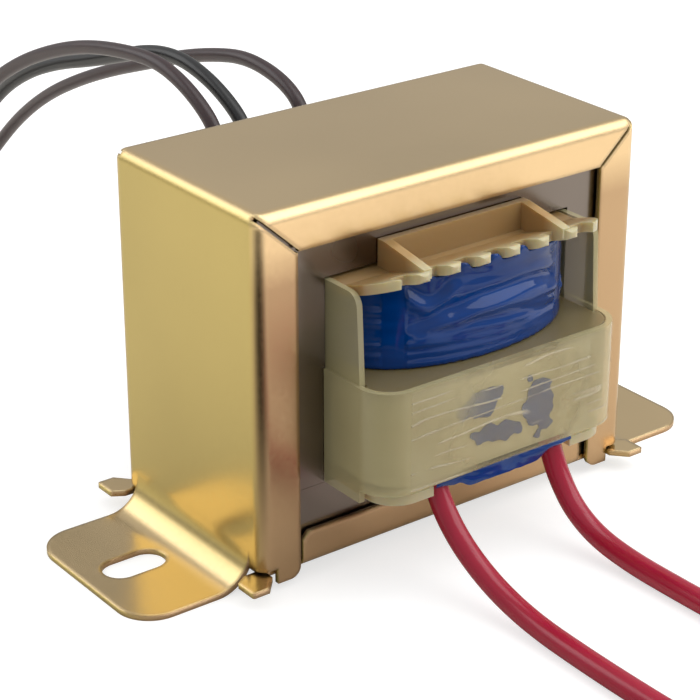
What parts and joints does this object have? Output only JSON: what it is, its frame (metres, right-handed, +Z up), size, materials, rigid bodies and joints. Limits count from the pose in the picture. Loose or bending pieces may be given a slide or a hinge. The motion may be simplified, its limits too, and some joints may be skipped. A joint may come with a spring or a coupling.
{
  "type": "electrical transformer",
  "caption": "Laminated-core mains transformer with a split bobbin, clamped in a folded steel bracket with slotted feet, with flying leads to the front and the rear.",
  "frame": {"origin": "middle of the feet's underside, which is the bottom of the part without its leads", "axes": "+X along the feet, -Y towards the two red mains leads, +Z up"},
  "size_m": [0.091, 0.2454, 0.0517],
  "materials": {
    "zinc_plate": "folded sheet steel, electroplated with zinc and yellow passivated, softly glossy",
    "core_steel": "cold-rolled silicon steel sheets with a dark oxide film",
    "nylon": "natural cream nylon, moulded, slightly translucent",
    "clear_sheet": "thin translucent polycarbonate, moulded",
    "copper_wire": "enamelled copper wire, wound in layers",
    "blue_film": "blue polyester winding tape",
    "clear_film": "clear polyester tape, creased",
    "red_insulation": "crimson PVC insulation",
    "brown_insulation": "dark brown PVC insulation",
    "black_insulation": "black PVC insulation",
    "white_sleeve": "white insulating sleeve",
    "tinned_strand": "copper strands dipped in solder"
  },
  "bodies": {
    "root": {"bracket": "zinc_plate", "base_plate": "zinc_plate", "e_laminations": "core_steel", "i_laminations": "core_steel", "bobbin": "nylon", "shroud_front": "clear_sheet", "shroud_rear": "clear_sheet", "primary_winding": "copper_wire", "secondary_winding": "copper_wire", "primary_tape": "blue_film", "secondary_tape": "blue_film", "lead_exit_tape": "blue_film", "shroud_tape": "clear_film", "primary_splices": "white_sleeve", "secondary_splices": "white_sleeve", "red_lead_left": "red_insulation", "red_lead_right": "red_insulation", "red_loop_left": "red_insulation", "red_loop_right": "red_insulation", "brown_lead_left": "brown_insulation", "brown_lead_right": "brown_insulation", "black_lead": "black_insulation", "red_end_left": "tinned_strand", "red_end_right": "tinned_strand", "brown_end_left": "tinned_strand", "black_end": "tinned_strand", "brown_end_right": "tinned_strand"}
  },
  "joints": []
}
